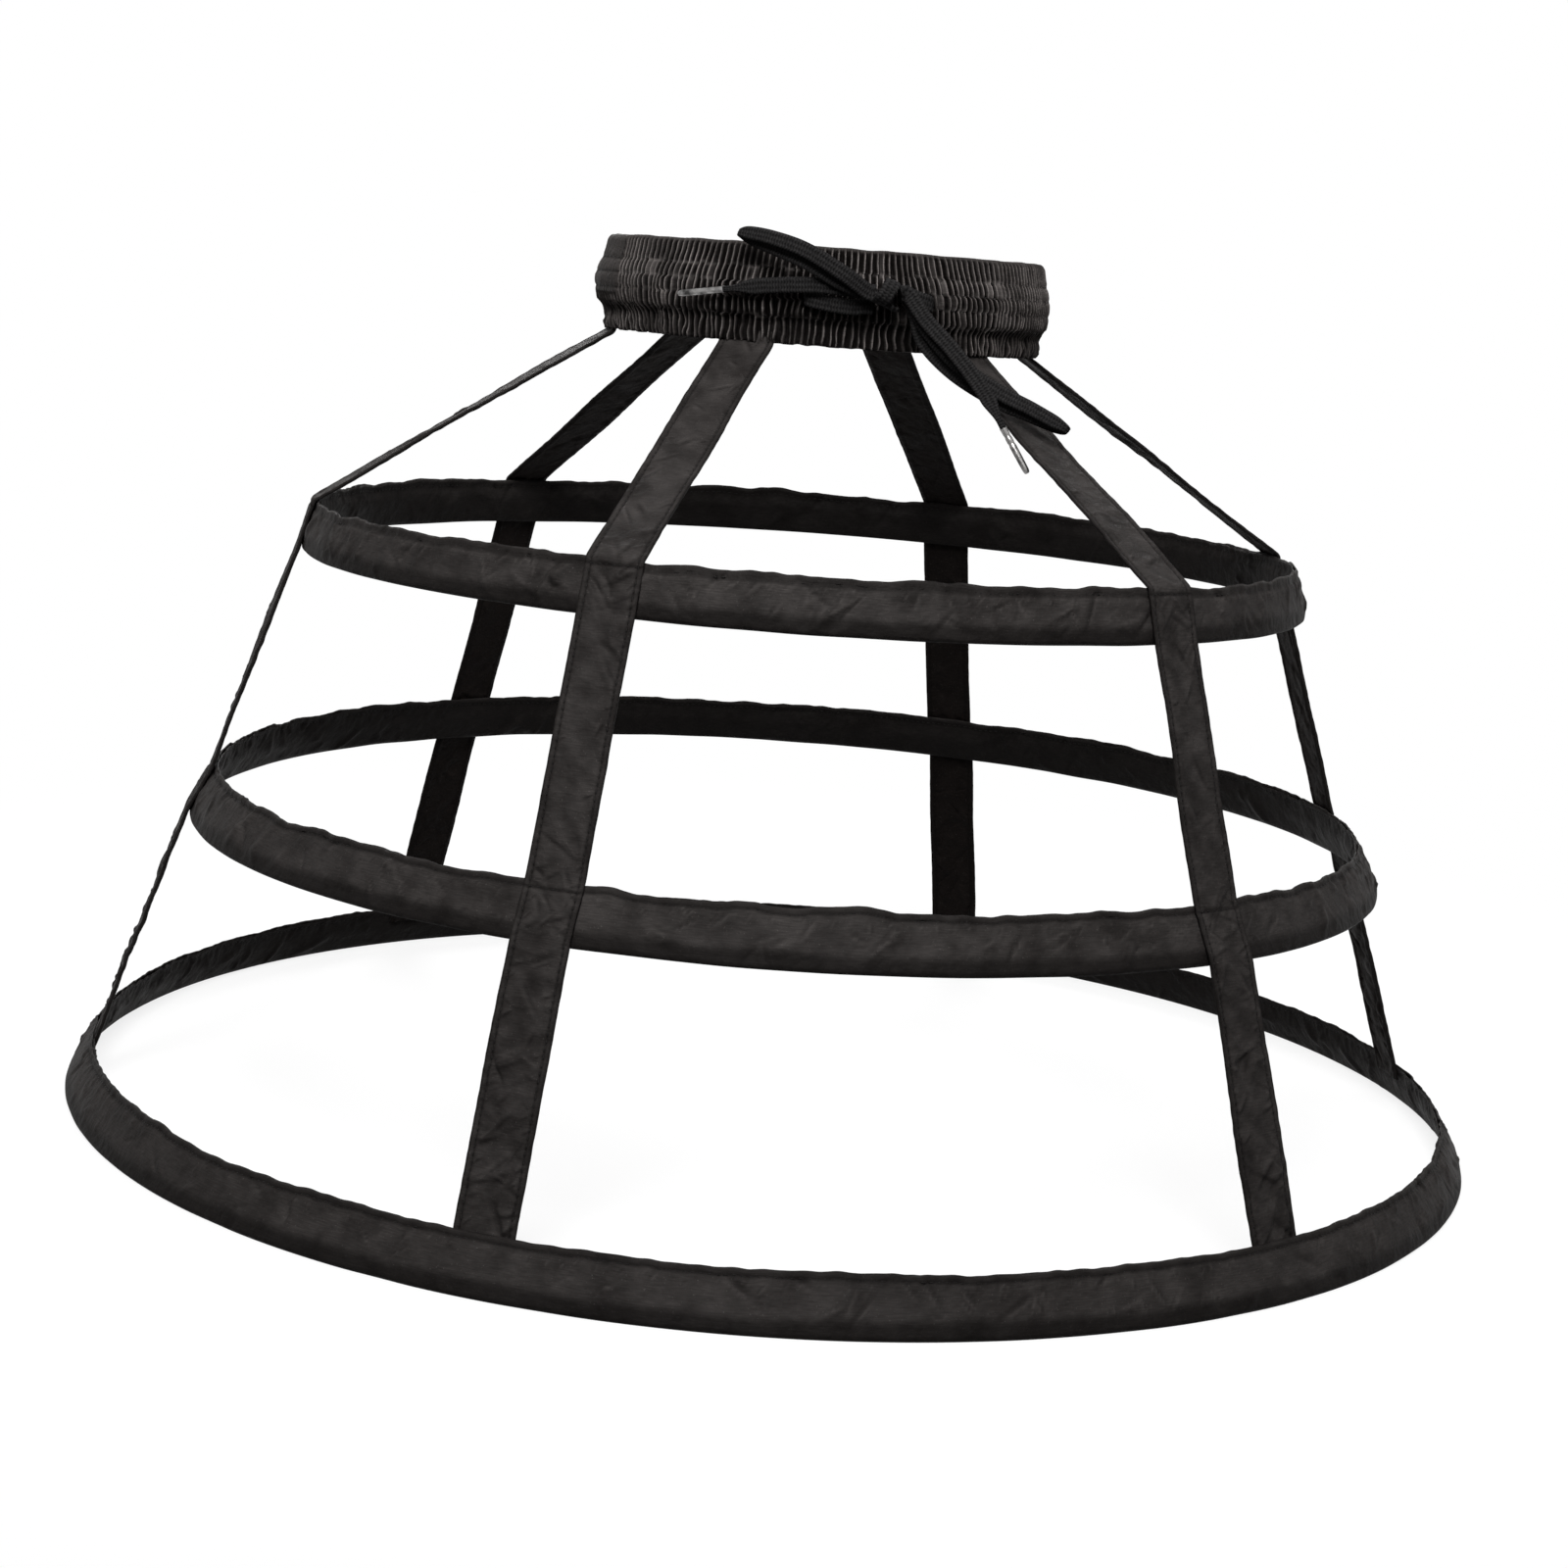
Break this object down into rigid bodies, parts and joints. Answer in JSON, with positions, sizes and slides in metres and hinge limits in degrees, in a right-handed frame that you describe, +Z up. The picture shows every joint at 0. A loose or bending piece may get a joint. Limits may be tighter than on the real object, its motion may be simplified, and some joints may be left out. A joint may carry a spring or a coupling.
{
  "type": "crinoline cage",
  "caption": "Black hoop skirt frame: gathered elastic waistband with a drawstring bow, cloth tapes, and bones cased in cloth that widen towards the floor.",
  "frame": {"origin": "on the floor, at the middle of the lower hoop", "axes": "+Z up along the axis of the hoops and the waist; the bow at the front faces -Y, and +X is to the right seen from the front"},
  "size_m": [0.6399, 0.64, 0.3957],
  "materials": {
    "cloth": "plain-weave polyester taffeta, charcoal black with a faint sheen",
    "elastic": "woven elastic",
    "braid": "flat braided cord, matt black",
    "aglet_metal": "rolled metal tips, bright",
    "bone": "flat hoop bone, smooth",
    "joiner_metal": "pressed steel sleeve"
  },
  "bodies": {
    "root": {"waistband_casing": "cloth", "hoop_casing_upper": "cloth", "hoop_casing_middle": "cloth", "hoop_casing_lower": "cloth", "tape_front_left": "cloth", "tape_front_right": "cloth", "tape_side_right": "cloth", "tape_back_right": "cloth", "tape_back_left": "cloth", "tape_side_left": "cloth", "waist_elastic": "elastic", "drawstring_run": "braid", "drawstring_left": "braid", "drawstring_right": "braid", "bow_knot": "braid", "aglet_left": "aglet_metal", "aglet_right": "aglet_metal", "hoop_bone_upper": "bone", "hoop_bone_middle": "bone", "hoop_bone_lower": "bone", "bone_joiner_upper": "joiner_metal", "bone_joiner_middle": "joiner_metal", "bone_joiner_lower": "joiner_metal"}
  },
  "joints": []
}
